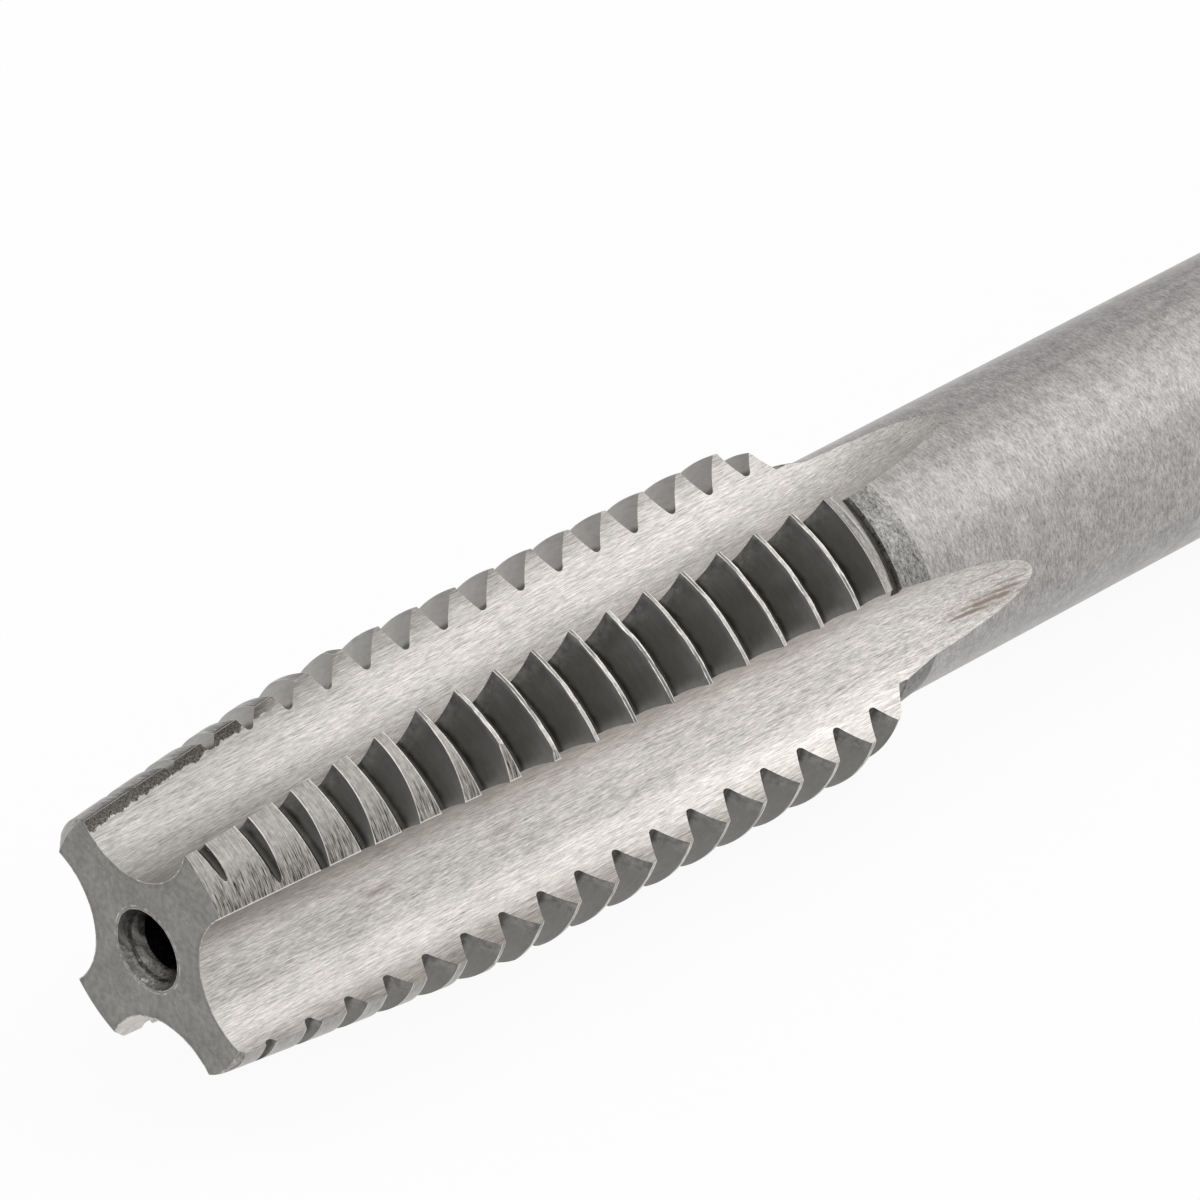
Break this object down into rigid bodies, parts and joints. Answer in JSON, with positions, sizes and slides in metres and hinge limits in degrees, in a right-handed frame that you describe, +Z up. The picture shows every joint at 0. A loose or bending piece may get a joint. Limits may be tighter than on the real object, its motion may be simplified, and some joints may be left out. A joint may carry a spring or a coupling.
{
  "type": "thread tap",
  "caption": "Straight-fluted hand tap with a tapered lead, a coarse right-hand thread, a smooth round shank and a driving square.",
  "frame": {"origin": "on the flat surface that the tap lies on, under the middle of its length and of its width", "axes": "+X along the tap from its tip towards its driving square, +Z up, +Y to the left as seen from the tip"},
  "size_m": [0.0892, 0.011, 0.0112],
  "materials": {
    "ground_steel": "bare ground tool steel: satin centreless-ground shank, bright long-stroke flutes, smooth darker thread flanks, matte end face"
  },
  "bodies": {
    "root": {"tap": "ground_steel"}
  },
  "joints": []
}
